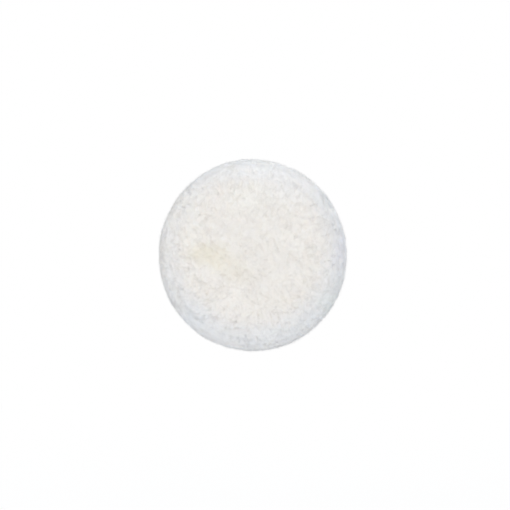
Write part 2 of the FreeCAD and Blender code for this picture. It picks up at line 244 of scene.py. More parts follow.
def normals(ob):
    values = np.zeros(len(ob.data.vertices) * 3, np.float32)
    ob.data.vertex_normals.foreach_get("vector", values)
    return values.reshape(-1, 3).astype(float)


def axis_distance(points):
    return np.hypot(points[:, 0] - CX, points[:, 2] - CZ)


def apply_modifiers(ob):
    depsgraph = bpy.context.evaluated_depsgraph_get()
    mesh = bpy.data.meshes.new_from_object(ob.evaluated_get(depsgraph))
    old = ob.data
    ob.modifiers.clear()
    ob.data = mesh
    bpy.data.meshes.remove(old)


def wall_tris(rings, sides):
    """Triangles between neighbouring rings of a tube."""
    tris = []
    for k in range(rings - 1):
        for s in range(sides):
            p, q = k * sides + s, k * sides + (s + 1) % sides
            tris += [(p, q, q + sides), (p, q + sides, p + sides)]
    return tris


def repeated(tris, copies, verts_each):
    return (np.array(tris)[None] + (np.arange(copies) * verts_each)[:, None, None]).reshape(-1, 3)


def swept(name, paths, radius, sides):
    """Round tubes with closed ends along many paths of equal length: paths is (n, k, 3)."""
    n, k, _ = paths.shape
    along = np.gradient(paths, axis=1)
    along /= np.maximum(np.linalg.norm(along, axis=2), 1e-12)[..., None]
    steep = np.abs(along[:, :1, 1:2]) > 0.8
    helper = np.where(steep, np.array([1.0, 0.0, 0.0]), np.array([0.0, 1.0, 0.0]))
    across = np.cross(along, np.broadcast_to(helper, along.shape))
    across /= np.maximum(np.linalg.norm(across, axis=2), 1e-9)[..., None]
    other = np.cross(along, across)
    angles = [2 * math.pi * s / sides for s in range(sides)]
    verts = np.stack([paths + (across * math.cos(a) + other * math.sin(a)) * radius
                      for a in angles], 2)
    end = (k - 1) * sides
    tris = wall_tris(k, sides)
    tris += [(0, s + 1, s) for s in range(1, sides - 1)]
    tris += [(end, end + s, end + s + 1) for s in range(1, sides - 1)]
    ob = triangle_object(name, verts.reshape(-1, 3), repeated(tris, n, k * sides))
    face_outward(ob)
    return ob


# ------------------------------------------------------------------ wool nap, under the fibres
SQUEEZE = 0.9785                      # width across X for a height of 1
INSET = 0.8 * MM                      # room left for the fibres
RECESS_R = CLOTH_R + 0.2 * MM         # the round recess in the back that takes the cloth
CAP_SWELL = 1.3 * MM                  # furthest the cloth simulation may move a point


def in_recess(points, margin, depth):
    """True near the recess: within margin outside its wall and depth in front of its floor."""
    return (axis_distance(points) < RECESS_R + margin) & (points[:, 1] > CLOTH_Y0 - depth)


def backness(y):
    """1 on the back half of the nap, 0 on the face."""
    return 1 - smooth(y, FACE_Y + 19 * MM, FACE_Y + 14 * MM)


def nap_profile():
    flat_r = 0.50 * NAP_R
    skin_r = NAP_R - INSET
    front_y = FACE_Y + INSET
    shoulder_y = FACE_Y + 13.0 * MM
    side_y = FACE_Y + 17.0 * MM
    lip = 5.0 * MM
    back_y = LIP_Y - INSET
    mouth_y = LIP_Y - 1.8 * MM
    floor_y = CLOTH_Y0 - 0.3 * MM
    profile = [(flat_r * k / 4, front_y) for k in range(5)]
    profile += arc(flat_r, shoulder_y, skin_r - flat_r, shoulder_y - front_y, -90, 0, steps=9)
    profile += [(skin_r, side_y)]
    profile += arc(NAP_R - lip, side_y, lip - INSET, back_y - side_y, 0, 90, steps=5)
    profile += [(RECESS_R + 0.9 * MM, back_y)]
    profile += [(RECESS_R, mouth_y)]
    profile += [(RECESS_R, mouth_y + (floor_y - mouth_y) * k / 3) for k in range(4)]
    profile += [(RECESS_R * k / 4, floor_y) for k in range(3, -1, -1)]
    # the mouth of the recess is one point, not two
    del profile[profile.index((RECESS_R, mouth_y))]
    return profile


def swell(nap):
    """A short cloth simulation under pressure swells the mass like a stuffed pad."""
    rest = coords(nap)
    held = in_recess(rest, margin=0.8 * MM, depth=1.4 * MM)
    group = nap.vertex_groups.new(name="held")
    group.add(np.nonzero(held)[0].tolist(), 1.0, "REPLACE")
    settings = nap.modifiers.new("swell", "CLOTH").settings
    for key, value in dict(
            quality=5, mass=0.3,
            tension_stiffness=12, compression_stiffness=12,
            shear_stiffness=4, bending_stiffness=0.4,
            use_pressure=True, uniform_pressure_force=4.0,
            vertex_group_mass="held").items():
        setattr(settings, key, value)
    settings.effector_weights.gravity = 0
    for step in range(1, 21):
        scene.frame_set(step)
    apply_modifiers(nap)
    move = coords(nap) - rest
    far = np.linalg.norm(move, axis=1)
    limit = np.where(far > CAP_SWELL, CAP_SWELL / np.maximum(far, 1e-9), 1.0)
    set_coords(nap, rest + move * limit[:, None])
    nap.vertex_groups.clear()
    scene.frame_set(1)


def fold(x, z, start, end, width, taper):
    """1 on the line from start to end, falling off over width and fading at both ends."""
    run_x, run_z = end[0] - start[0], end[1] - start[1]
    from_x, from_z = x - start[0], z - start[1]
    t = (from_x * run_x + from_z * run_z) / (run_x ** 2 + run_z ** 2)
    on_line = np.clip(t, 0, 1)
    away = np.hypot(from_x - on_line * run_x, from_z - on_line * run_z)
    ends = smooth(t, -0.15, taper) * smooth(t, 1.15, 1 - taper)
    return np.exp(-(away / width) ** 2) * ends


def tufts(co, warp, warp_scale, warp_seed, size, seed):
    """Rounded tufts parted by narrow grooves, from warped cells."""
    nearest, second = cells(co + warp * perlin3(co, warp_scale, warp_seed), size, seed)
    return smooth(second - nearest, 0.0, 0.7) - 0.6


def work_surface(nap):
    """Folds and tufts worked into the mass. Returns the new points."""
    co = coords(nap)
    # place on the face in wheel radii
    x, z = (co[:, 0] - CX) / NAP_R, (co[:, 2] - CZ) / NAP_R
    front = smooth(co[:, 1], FACE_Y + 16 * MM, FACE_Y + 8 * MM)
    behind = backness(co[:, 1])
    waver = 0.035 * perlin(co, 16 * MM, seed=5)
    parting = fold(x, z + waver, (-0.68, 0.09), (-0.14, -0.18), width=0.105, taper=0.45)
    ridge = fold(x, z + waver, (-0.74, -0.17), (-0.30, -0.34), width=0.13, taper=0.5)
    dip = fold(x, z - waver, (0.06, -0.30), (0.62, -0.26), width=0.14, taper=0.5)
    lumps = (perlin(co, 13 * MM, seed=21) + 0.5 * perlin(co, 13 * MM / 2, seed=38)) / 1.5
    large = tufts(co, 1.2 * MM, 6 * MM, warp_seed=31, size=6.5 * MM, seed=4)
    small = tufts(co, 0.6 * MM, 3 * MM, warp_seed=41, size=2.9 * MM, seed=9)
    height = 0.34 * MM * perlin(co, 30 * MM, seed=11)
    height += 0.20 * MM * lumps
    height += (0.11 + 0.14 * behind) * MM * large
    height += (0.03 + 0.09 * behind) * MM * small
    height += front * MM * (-1.0 * parting + 0.5 * ridge - 0.35 * dip)
    height[in_recess(co, margin=0.7 * MM, depth=1.6 * MM)] *= 0.1
    co = co + normals(nap) * height[:, None]
    set_coords(nap, co)
    return co


nap = lathed("wool_nap", nap_profile(), 96)
remesh = nap.modifiers.new("remesh", "REMESH")
remesh.mode = "VOXEL"
remesh.voxel_size = 2.6 * MM
apply_modifiers(nap)
swell(nap)
subdivision = nap.modifiers.new("sub", "SUBSURF")
subdivision.levels = subdivision.render_levels = 2
apply_modifiers(nap)
nap_co = work_surface(nap)

# ------------------------------------------------------------------ wool fibres
FIBRES = 148800
PIECES = 12
FIBRES_EACH = FIBRES // PIECES
LOCKS = 6000                          # points that gather the fibres around them
FIBRE_R = 0.042 * MM
FIBRE_SIDES, FIBRE_RINGS = 3, 3
FIBRE_VERTS = FIBRE_RINGS * FIBRE_SIDES + 1
wool_rng = np.random.default_rng(20)


def nap_surface():
    """Corners, mean normal and chance of carrying a fibre for each triangle of the nap."""
    nap.data.calc_loop_triangles()
    tris = np.zeros(len(nap.data.loop_triangles) * 3, np.int32)
    nap.data.loop_triangles.foreach_get("vertices", tris)
    tris = tris.reshape(-1, 3)
    corners = nap_co[tris]
    a, b, c = corners[:, 0], corners[:, 1], corners[:, 2]
    area = np.linalg.norm(np.cross(b - a, c - a), axis=1) / 2
    chance = area * ~in_recess((a + b + c) / 3, margin=1.2 * MM, depth=1.6 * MM)
    return corners, normals(nap)[tris].mean(1), chance / chance.sum()


tri_corners, tri_normals, tri_chance = nap_surface()


def scatter(count):
    """Random points on the nap with their normals."""
    pick = wool_rng.choice(len(tri_chance), count, p=tri_chance)
    s = np.sqrt(wool_rng.random(count))
    t = wool_rng.random(count)
    weights = np.stack([1 - s, s * (1 - t), s * t], 1)
    return (tri_corners[pick] * weights[..., None]).sum(1), unit(tri_normals[pick])


def tangent(vectors, normal):
    return vectors - normal * (vectors * normal).sum(1)[:, None]


def combing(points, normal):
    """Outwards from the middle of the face and back over the edge, with slow swirls."""
    radial = np.stack([points[:, 0] - CX, np.zeros(len(points)), points[:, 2] - CZ], 1)
    away = np.linalg.norm(radial, axis=1)[:, None]
    radial = radial / np.maximum(away, 1e-6)
    backwards = (normal * radial).sum(1)[:, None] * np.array([0.0, 1.0, 0.0])
    flow = -normal[:, 1:2] * radial + backwards
    strength = 0.25 + 0.65 * smooth(away, 0.25 * NAP_R, 0.8 * NAP_R)
    lie = flow * strength * smooth(away, 2 * MM, 18 * MM)
    lie = tangent(lie + 0.6 * perlin3(points, 15 * MM, seed=51), normal)
    # left short where the combing is undecided
    return lie / np.maximum(np.linalg.norm(lie, axis=1), 1.0)[:, None]


def tapered_tubes(roots, dirs, curl, length, radius):
    """Closed tubes ending in a point. dirs and curl are in fibre lengths; curl is the bend."""
    axis = unit(dirs)
    across = np.cross(axis, np.roll(axis, 1, axis=1) + [0.11, 0.27, 0.41])
    across /= np.maximum(np.linalg.norm(across, axis=1), 1e-9)[:, None]
    other = np.cross(axis, across)
    sides = FIBRE_SIDES
    verts = np.zeros((len(roots), FIBRE_VERTS, 3))
    for k, t in enumerate(np.linspace(0, 1, FIBRE_RINGS + 1)[:-1]):
        middle = roots + (dirs * t + curl * t * t) * length[:, None]
        r = (radius * (1.0 - 0.62 * t))[:, None]
        for s in range(sides):
            a = 2 * math.pi * s / sides
            verts[:, k * sides + s] = middle + (across * math.cos(a) + other * math.sin(a)) * r
    verts[:, -1] = roots + (dirs + curl) * length[:, None]
    last = (FIBRE_RINGS - 1) * sides
    tris = [(0, s + 1, s) for s in range(1, sides - 1)]
    tris += wall_tris(FIBRE_RINGS, sides)
    tris += [(last + s, last + (s + 1) % sides, FIBRE_VERTS - 1) for s in range(sides)]
    return verts.reshape(-1, 3), repeated(tris, len(roots), FIBRE_VERTS)


locks, lock_normals = scatter(LOCKS)
lock_lie = combing(locks, lock_normals)
lock_lie += 0.45 * wool_rng.normal(size=lock_lie.shape)
lock_lie = unit(tangent(lock_lie, lock_normals))
lock_tone = wool_rng.random(LOCKS)
lock_tree = KDTree(LOCKS)
for i, place in enumerate(locks):
    lock_tree.insert(place, i)
lock_tree.balance()


def fibre_piece(name):
    """One mesh of fibres, each lying with the combing and with its nearest lock."""
    count = FIBRES_EACH
    points, normal = scatter(count)
    own = np.array([lock_tree.find(point)[1] for point in points])
    behind = backness(points[:, 1:2])
    lie = (0.70 + 0.30 * behind) * combing(points, normal)
    lie += (0.20 + 0.25 * behind) * lock_lie[own]
    lie += (0.42 - 0.20 * behind) * wool_rng.normal(size=points.shape)
    lie = unit(tangent(lie, normal))
    lean = wool_rng.uniform(0.05, 0.24, count)[:, None] + 0.10 * behind
    length = wool_rng.uniform(1.8, 4.0, count) * MM
    dirs = lie * np.sqrt(1 - lean ** 2) + normal * lean
    lock_tip = locks[own] + lock_lie[own] * 2.4 * MM + lock_normals[own] * 0.4 * MM
    gather = (lock_tip - (points + dirs * length[:, None])) / length[:, None]
    curl = (0.03 + 0.20 * behind) * gather + 0.13 * wool_rng.normal(size=lie.shape)
    curl -= normal * (lean * 0.75 + 0.02)
    roots = points - normal * 0.22 * MM
    radius = FIBRE_R * wool_rng.uniform(0.75, 1.25, count)
    ob = triangle_object(name, *tapered_tubes(roots, dirs, curl, length, radius))
    uneven = 0.8 * (wool_rng.random(count) - 0.5) + 0.4 * (lock_tone[own] - 0.5)
    tone = 0.5 + (0.16 + 0.30 * behind[:, 0]) * uneven
    values = np.asarray(np.repeat(tone, FIBRE_VERTS), np.float32)
    ob.data.attributes.new("tone", "FLOAT", "POINT").data.foreach_set("value", values)
    return ob


def squeeze(ob):
    """Makes the nap a little narrower across than it is tall."""
    co = coords(ob)
    co[:, 0] = CX + (co[:, 0] - CX) * SQUEEZE
    set_coords(ob, co)


def clear_hook_sheet(ob):
    """Moves fibres out past the edge of the hook sheet, which stays when the pad comes off."""
    clear_r = HOOK_R + 0.4 * MM
    co = coords(ob).reshape(FIBRES_EACH, -1, 3)
    dx, dz = co[..., 0] - CX, co[..., 2] - CZ
    reach = np.where(co[..., 1] > HOOK_Y0 - 0.6 * MM, clear_r - np.hypot(dx, dz), 0)
    over = reach.max(1).clip(0)
    mean_x, mean_z = dx.mean(1), dz.mean(1)
    away = np.maximum(np.hypot(mean_x, mean_z), 1e-9)
    co[..., 0] += (over * mean_x / away)[:, None]
    co[..., 2] += (over * mean_z / away)[:, None]
    set_coords(ob, co.reshape(-1, 3))


fibre_objects = [fibre_piece("wool_fibres_%d" % (k + 1)) for k in range(PIECES)]
for ob in [nap] + fibre_objects:
    squeeze(ob)
for ob in fibre_objects:
    clear_hook_sheet(ob)


# ------------------------------------------------------------------ foam cushion
def foam_cushion():
    """A disc with a waisted side, pitted with open cells."""
    front_y, back_y = FOAM_Y0 + 0.05 * MM, FOAM_Y1 - 0.1 * MM
    side = []
    for i in range(31):
        t = i / 30
        waist = (1.75 * math.sin(math.pi * t * 0.93) ** 0.9 + 1.1 * t) * MM * 0.8
        y = FOAM_Y0 + 0.5 * MM + (FOAM_T - 1.0 * MM) * t
        side.append((FOAM_R - 0.25 * MM - waist, y))
    rim = [(FOAM_R - 1.2 * MM, front_y), (FOAM_R - 0.55 * MM, FOAM_Y0 + 0.2 * MM)] + side
    rim += [(side[-1][0] - 0.5 * MM, back_y)]
    profile = [(0, front_y), (FOAM_R * 0.5, front_y)]
    profile += subdivided(rim, 0.36 * MM)
    profile += [(FOAM_R * 0.5, back_y), (0, back_y)]
    ob = lathed("foam_pad", profile, 520)

    co = coords(ob)
    large, _ = cells(co + 0.25 * MM * perlin3(co, 1.4 * MM, seed=61), 1.25 * MM, seed=3)
    small, _ = cells(co, 0.62 * MM, seed=8)
    on_side = smooth(axis_distance(co), FOAM_R - 4.2 * MM, FOAM_R - 3.6 * MM)
    height = -0.26 * MM * smooth(large, 0.42, 0.16) - 0.10 * MM * smooth(small, 0.40, 0.18)
    height += 0.10 * MM * perlin(co, 7 * MM, seed=71)
    co = co + normals(ob) * (height * on_side)[:, None]
    co[:, 1] = np.clip(co[:, 1], front_y, back_y)          # both glued faces stay flat
    set_coords(ob, co)
    return ob


foam = foam_cushion()


# ------------------------------------------------------------------ carrier cloth
def carrier_cloth():
    """A knitted cup open towards +Y, its hem turned in and gathered in small puckers."""
    thick = 0.8 * MM
    play = 0.03 * MM
    corner = 1.2 * MM                                  # rounding at the foot of the wall
    outer_r = CLOTH_R - play
    front_y, back_y = CLOTH_Y0 + play, CLOTH_Y1 - play
    hem_r = CLOTH_R - 8.6 * MM
    lining_r = outer_r - thick + play
    lining_back_y = back_y - thick + 0.08 * MM
    lining_front_y = CLOTH_Y0 + thick - play
    outside = [(outer_r - corner, front_y)]
    outside += arc(outer_r - corner, front_y + corner, corner, corner, -90, 0, steps=5)
    outside += [(outer_r, back_y - 0.7 * MM), (outer_r - 0.18 * MM, back_y - 0.25 * MM),
                (outer_r - 0.6 * MM, back_y), (hem_r + play, back_y)]
    inside = [(hem_r + play, lining_back_y), (lining_r, lining_back_y),
              (lining_r, lining_front_y), (0, lining_front_y)]
    profile = [(0, front_y)] + subdivided(outside, 0.7 * MM) + inside
    ob = lathed("carrier_knit", profile, 432)

    co = coords(ob)
    rad = axis_distance(co)
    ang = np.arctan2(co[:, 2] - CZ, co[:, 0] - CX)
    waver = 2.2 * np.sin(5 * ang) + 1.3 * np.sin(11 * ang + 1)
    pucker = 0.5 + 0.5 * np.sin(54 * ang + waver)
    wall = (rad > outer_r - 0.25 * MM) & (co[:, 1] > CLOTH_Y0 + 1.6 * MM)
    hem = (co[:, 1] > back_y - 0.05 * MM) & (rad > hem_r - 0.3 * MM)
    depth = 0.16 * MM * pucker * smooth(co[:, 1], CLOTH_Y0 + 2 * MM, CLOTH_Y1)
    shrink = np.where(wall, depth, 0)
    co[:, 0] -= (co[:, 0] - CX) / np.maximum(rad, 1e-6) * shrink
    co[:, 2] -= (co[:, 2] - CZ) / np.maximum(rad, 1e-6) * shrink
    co[:, 1] -= np.where(hem, 0.14 * MM * pucker, 0)
    set_coords(ob, co)
    return ob


cloth = carrier_cloth()

# ------------------------------------------------------------------ hook sheet
FILM_Y = HOOK_Y1 - 0.55 * MM          # front of the backing film, where the hooks stand
HOOK_PITCH = 1.45 * MM
HOOK_ROW = HOOK_PITCH * 0.88          # from one row of hooks to the next
HOOK_HEIGHT = FILM_Y - HOOK_Y0 - 0.04 * MM
HOOK_HALF_T = 0.17 * MM
# side outline of one hook, (across, height): a stem wide at its foot, curled over at the top
HOOK_OUTLINE = np.array([
    (-0.34, -0.06), (-0.17, 0.22), (-0.13, 0.62), (-0.02, 0.92), (0.20, 1.0),
    (0.40, 0.88), (0.46, 0.66), (0.38, 0.60), (0.28, 0.72), (0.18, 0.76),
    (0.13, 0.62), (0.15, 0.22), (0.34, -0.06),
]) * [0.95 * MM, HOOK_HEIGHT]
detail_rng = np.random.default_rng(33)          # shared by hooks, loops and stitches in turn


def hook_film():
    edge_r = HOOK_R - 0.05 * MM
    back_y = HOOK_Y1 - 0.05 * MM
    profile = [(0, FILM_Y), (HOOK_R * 0.5, FILM_Y), (HOOK_R - 0.25 * MM, FILM_Y),
               (edge_r, FILM_Y + 0.12 * MM), (edge_r, back_y),
               (HOOK_R * 0.5, back_y), (0, back_y)]
    return lathed("hook_film", profile, 240)


def hook_rows():
    """Staggered rows of moulded hooks pointing to -Y, every other row turned about."""
    gx, gz = np.meshgrid(np.arange(-28, 29), np.arange(-28, 29))
    gx, gz = gx.ravel(), gz.ravel()
    gx, gz = gx * HOOK_PITCH + (gz % 2) * HOOK_PITCH / 2, gz * HOOK_PITCH * 0.88
    keep = np.hypot(gx, gz) < HOOK_R - 0.9 * MM
    m = len(HOOK_OUTLINE)
    verts, faces = [], []
    for i, (x, z) in enumerate(zip(gx[keep], gz[keep])):
        turn = 0 if int(round(z / HOOK_ROW)) % 2 else math.pi
        turn += detail_rng.normal() * 0.07
        c, s = math.cos(turn), math.sin(turn)
        tall = detail_rng.uniform(0.93, 1.0)
        for side in (-HOOK_HALF_T, HOOK_HALF_T):
            for a, b in HOOK_OUTLINE:
                verts.append((CX + x + a * c - side * s, FILM_Y - b * tall,
                              CZ + z + a * s + side * c))
        first = i * 2 * m
        faces += [(first + j, first + (j + 1) % m, first + m + (j + 1) % m, first + m + j)
                  for j in range(m)]
        # the flat sides join the two edges of the outline; at the top they meet in a triangle
        for base, order in ((first, -1), (first + m, 1)):
            for j in range(m // 2):
                quad = (base + j, base + j + 1, base + m - 2 - j, base + m - 1 - j)
                faces.append(tuple(list(dict.fromkeys(quad))[::order]))
    ob = mesh_object("hook_rows", verts, faces, smooth_shade=False)
    face_outward(ob)
    return ob


film = hook_film()
hooks = hook_rows()

# ------------------------------------------------------------------ loop fabric, back of the pad
LOOP_BASE_Y = LOOP_Y1 - 0.62 * MM     # back of the knit, where the loops stand
LOOP_PITCH = 1.22 * MM


def loop_backing():
    edge_r = LOOP_R - 0.04 * MM
    top_r = LOOP_R - 0.3 * MM
    front_y = LOOP_Y0 + 0.02 * MM
    profile = [(0, front_y), (LOOP_R * 0.5, front_y), (LOOP_R - 0.2 * MM, front_y),
               (edge_r, LOOP_Y0 + 0.2 * MM), (edge_r, LOOP_BASE_Y - 0.2 * MM),
               (top_r, LOOP_BASE_Y)]
    profile += [(top_r * (1 - i / 60), LOOP_BASE_Y) for i in range(1, 60)]
    profile += [(0, LOOP_BASE_Y)]
    ob = lathed("loop_backing", profile, 300)
    co = coords(ob)
    on_back = co[:, 1] > LOOP_BASE_Y - 0.05 * MM
    seam = np.exp(-((axis_distance(co) - SEAM_R) / (0.55 * MM)) ** 2) * 0.30 * MM
    knit = 0.05 * MM * np.sin(co[:, 0] / (0.9 * MM) * 2 * math.pi)
    knit *= np.sin(co[:, 2] / (1.3 * MM) * 2 * math.pi)
    relief = knit + 0.06 * MM * perlin(co, 5 * MM, seed=81) - seam
    co[:, 1] += np.where(on_back, relief, 0)
    set_coords(ob, co)
    return ob


def loop_pile():
    """Small leaning arches of yarn at random turns, inside the seam."""
    rng = detail_rng
    gx, gz = np.meshgrid(np.arange(-38, 39), np.arange(-38, 39))
    gx, gz = gx.ravel(), gz.ravel()
    gx = (gx + 0.5 * (gz % 2)) * LOOP_PITCH + rng.normal(size=gx.size) * 0.16 * MM
    gz = gz * LOOP_PITCH + rng.normal(size=gx.size) * 0.16 * MM
    keep = np.hypot(gx, gz) < SEAM_R - 0.9 * MM
    gx, gz = gx[keep], gz[keep]
    count = len(gx)
    turn = rng.uniform(0, 2 * math.pi, count)
    lean = rng.uniform(0, 2 * math.pi, count)
    half_width = rng.uniform(0.36, 0.62, count) * MM
    tall = rng.uniform(0.72, 1.0, count) * (LOOP_Y1 - LOOP_BASE_Y - 0.02 * MM)
    stations = np.linspace(-0.12, 1.12, 9)
    arch = np.zeros((count, len(stations), 3))
    for i, t in enumerate(stations):
        a = math.pi * t
        across = -np.cos(a) * half_width
        shift = 0.34 * MM * max(0.0, math.sin(a))
        arch[:, i, 0] = CX + gx + across * np.cos(turn) + shift * np.cos(lean)
        arch[:, i, 2] = CZ + gz + across * np.sin(turn) + shift * np.sin(lean)
        arch[:, i, 1] = LOOP_BASE_Y + np.sin(a) * tall - 0.04 * MM
    return swept("loop_pile", arch, radius=0.055 * MM, sides=3)


loop_base = loop_backing()
loops = loop_pile()


# ------------------------------------------------------------------ hem stitches
def hem_thread():
    """Two-ply thread in a ring of stitches, each end diving into the cloth."""
    stitches = 60
    span = math.radians(360 / stitches * 0.86)
    ply_offset = 0.11 * MM
    twists = 2.6                                       # turns of the plies in one stitch
    t = np.linspace(0, 1, 17)
    dive = np.clip((0.10 - t) / 0.10, 0, 1) ** 2 + np.clip((t - 0.90) / 0.10, 0, 1) ** 2
    strands = []
    for i in range(stitches):
        a = 2 * math.pi * i / stitches + span * t
        stitch_r = SEAM_R + detail_rng.normal() * 0.05 * MM
        for ply in (0, 1):
            twist = 2 * math.pi * twists * t + math.pi * ply
            r = stitch_r + ply_offset * np.cos(twist)
            y = STITCH_Y1 - 0.27 * MM + ply_offset * np.sin(twist) - dive * 0.55 * MM
            strands.append(np.stack([CX + r * np.cos(a), y, CZ + r * np.sin(a)], 1))
    return swept("hem_thread", np.array(strands), radius=0.145 * MM, sides=7)


thread = hem_thread()


# ------------------------------------------------------------------ node helpers
class Graph:
    """Short ways to write the nodes of a material or world."""

    def __init__(self, owner):
        owner.use_nodes = True
        self.tree = owner.node_tree
        self.tree.nodes.clear()
        self.coords = self.node("TexCoord")
        self.pos = self.coords.outputs["Object"]

    def node(self, kind):
        return self.tree.nodes.new("ShaderNode" + kind)

    def plug(self, socket, value):
        """Links a socket or sets a plain value; three numbers also do for a colour."""
        if isinstance(value, bpy.types.NodeSocket):
            self.tree.links.new(value, socket)
            return
        if isinstance(value, tuple) and len(value) == 3 and socket.type == "RGBA":
            value = (*value, 1.0)
        socket.default_value = value

    def math(self, operation, a, b=None):
        n = self.node("Math")
        n.operation = operation
        self.plug(n.inputs[0], a)
        if b is not None:
            self.plug(n.inputs[1], b)
        return n.outputs[0]

    def add(self, *terms):
        return reduce(lambda a, b: self.math("ADD", a, b), terms)

    def times(self, a, b):
        return self.math("MULTIPLY", a, b)

    def vector(self, operation, a, b=None, out=0):
        n = self.node("VectorMath")
        n.operation = operation
        self.plug(n.inputs[0], a)
        if b is not None:
            self.plug(n.inputs[1], b)
        return n.outputs[out]

    def mapped(self, stretch=(1, 1, 1), turn=(0, 0, 0), source=None):
        n = self.node("Mapping")
        self.plug(n.inputs["Vector"], source or self.pos)
        n.inputs["Scale"].default_value = stretch
        n.inputs["Rotation"].default_value = turn
        return n.outputs[0]

    def noise(self, size, detail=3.0, rough=0.5, distort=0.0, source=None,
              stretch=None, turn=(0, 0, 0)):
        """Cloudy noise; stretch scales the space per axis, so a low number draws it out."""
        if stretch:
            source = self.mapped(stretch, turn, source)
        n = self.node("TexNoise")
        self.plug(n.inputs["Vector"], source or self.pos)
        n.inputs["Scale"].default_value = 1.0 / size
        n.inputs["Detail"].default_value = detail
        n.inputs["Roughness"].default_value = rough
        n.inputs["Distortion"].default_value = distort
        return n.outputs["Fac"]

    def voronoi(self, size):
        n = self.node("TexVoronoi")
        self.plug(n.inputs["Vector"], self.pos)
        n.inputs["Scale"].default_value = 1.0 / size
        return n.outputs["Distance"]

    def wave(self, size, direction, distort):
        n = self.node("TexWave")
        n.bands_direction = direction
        self.plug(n.inputs["Vector"], self.mapped())
        n.inputs["Scale"].default_value = 0.314 / size
        n.inputs["Distortion"].default_value = distort
        return n.outputs["Fac"]

    def mix(self, factor, under, over, mode="MIX"):
        n = self.node("Mix")
        n.data_type = "RGBA"
        n.blend_type = mode
        self.plug(n.inputs[0], factor)
        self.plug(n.inputs[6], under)
        self.plug(n.inputs[7], over)
        return n.outputs[2]

    def shade(self, colour, grey):
        """Darkens a colour by a grey value."""
        return self.mix(1.0, colour, self.mix(grey, (0, 0, 0), (1, 1, 1)), mode="MULTIPLY")

    def range(self, value, span, to=(0.0, 1.0), eased=False):
        n = self.node("MapRange")
        if eased:
            n.interpolation_type = "SMOOTHSTEP"
        self.plug(n.inputs[0], value)
        for i, x in enumerate((*span, *to), 1):
            n.inputs[i].default_value = x
        return n.outputs[0]

    def layer(self, mask, span, under, over, to=(0.0, 1.0)):
        """Lays one colour over another where the mask passes through span."""
        return self.mix(self.range(mask, span, to), under, over)

    def bump(self, height, strength, distance, normal=None):
        n = self.node("Bump")
        n.inputs["Strength"].default_value = strength
        n.inputs["Distance"].default_value = distance
        self.plug(n.inputs["Height"], height)
        if normal is not None:
            self.plug(n.inputs["Normal"], normal)
        return n.outputs[0]

    def radius(self):
        """Distance from the spin axis, in metres."""
        flat = self.mapped((1, 0, 1))
        return self.vector("LENGTH", self.vector("SUBTRACT", flat, (CX, 0, CZ)), out=1)

    def split(self, source=None):
        n = self.node("SeparateXYZ")
        self.plug(n.inputs[0], source or self.pos)
        return n.outputs

    def edges(self, width):
        """1 on edges, from how far a rounded normal turns from the face's own."""
        bevel = self.node("Bevel")
        bevel.samples = 4
        bevel.inputs["Radius"].default_value = width
        own = self.node("NewGeometry").outputs["Normal"]
        dot = self.vector("DOT_PRODUCT", bevel.outputs[0], own, out=1)
        return self.range(dot, span=(0.991, 0.904))


class Surface(Graph):
    """A material with one principled shader."""

    def __init__(self, name):
        self.mat = bpy.data.materials.new(name)
        super().__init__(self.mat)
        self.out = self.node("OutputMaterial")
        self.shader = self.node("BsdfPrincipled")
        self.plug(self.out.inputs[0], self.shader.outputs[0])

    def set(self, **values):
        for key, value in values.items():
            self.plug(self.shader.inputs[key.replace("_", " ")], value)


def scaled(colour, by):
    return tuple(min(1, c * by) for c in colour)


# ------------------------------------------------------------------ materials
# uneven tints of the wool face, in wheel radii from its middle. Besides the wool's own uneven
# tone, the table holds painted light and shade: the darker, yellower patches along the parting
# are painted shade in its groove, the pale patches near the top are painted light from above, the
# darker patches round the rim are painted shade, and the lavender, greenish and bluish patches
# round the rim are painted cool light:
# x, z, half width, half height, strength, colour
WOOL_TINTS_AND_PAINTED_LIGHT = (
    (-0.46, 0.02, 0.30, 0.16, 0.80, (0.848, 0.811, 0.716)),
    (-0.29, -0.08, 0.26, 0.15, 0.70, (0.852, 0.815, 0.730)),
    (-0.12, -0.18, 0.24, 0.14, 0.50, (0.862, 0.828, 0.758)),
    (-0.62, 0.24, 0.24, 0.18, 0.35, (0.880, 0.846, 0.780)),
    (0.02, -0.02, 0.36, 0.34, 0.35, (0.876, 0.848, 0.806)),
    (-0.40, 0.54, 0.34, 0.28, 0.40, (0.905, 0.852, 0.812)),
    (0.05, 0.62, 0.45, 0.24, 0.40, (0.925, 0.898, 0.858)),
    (0.36, -0.38, 0.40, 0.24, 0.35, (0.868, 0.842, 0.806)),
    (0.93, 0.05, 0.16, 0.30, 0.50, (0.822, 0.820, 0.878)),
    (-0.72, 0.52, 0.50, 0.42, 0.62, (0.905, 0.878, 0.846)),
    (-0.90, 0.02, 0.28, 0.40, 0.45, (0.880, 0.858, 0.836)),
    (0.42, 0.80, 0.55, 0.34, 0.55, (0.940, 0.925, 0.915)),
    (0.80, -0.50, 0.18, 0.22, 0.50, (0.795, 0.835, 0.830)),
    (-0.60, -0.62, 0.34, 0.30, 0.40, (0.835, 0.862, 0.892)),
    (-0.94, -0.02, 0.14, 0.36, 0.80, (0.806, 0.792, 0.772)),
    (-0.80, 0.46, 0.20, 0.30, 0.80, (0.862, 0.846, 0.822)),
    (-0.82, -0.46, 0.18, 0.26, 0.65, (0.810, 0.806, 0.800)),
    (0.12, 0.92, 0.75, 0.24, 0.90, (0.950, 0.945, 0.940)),
)


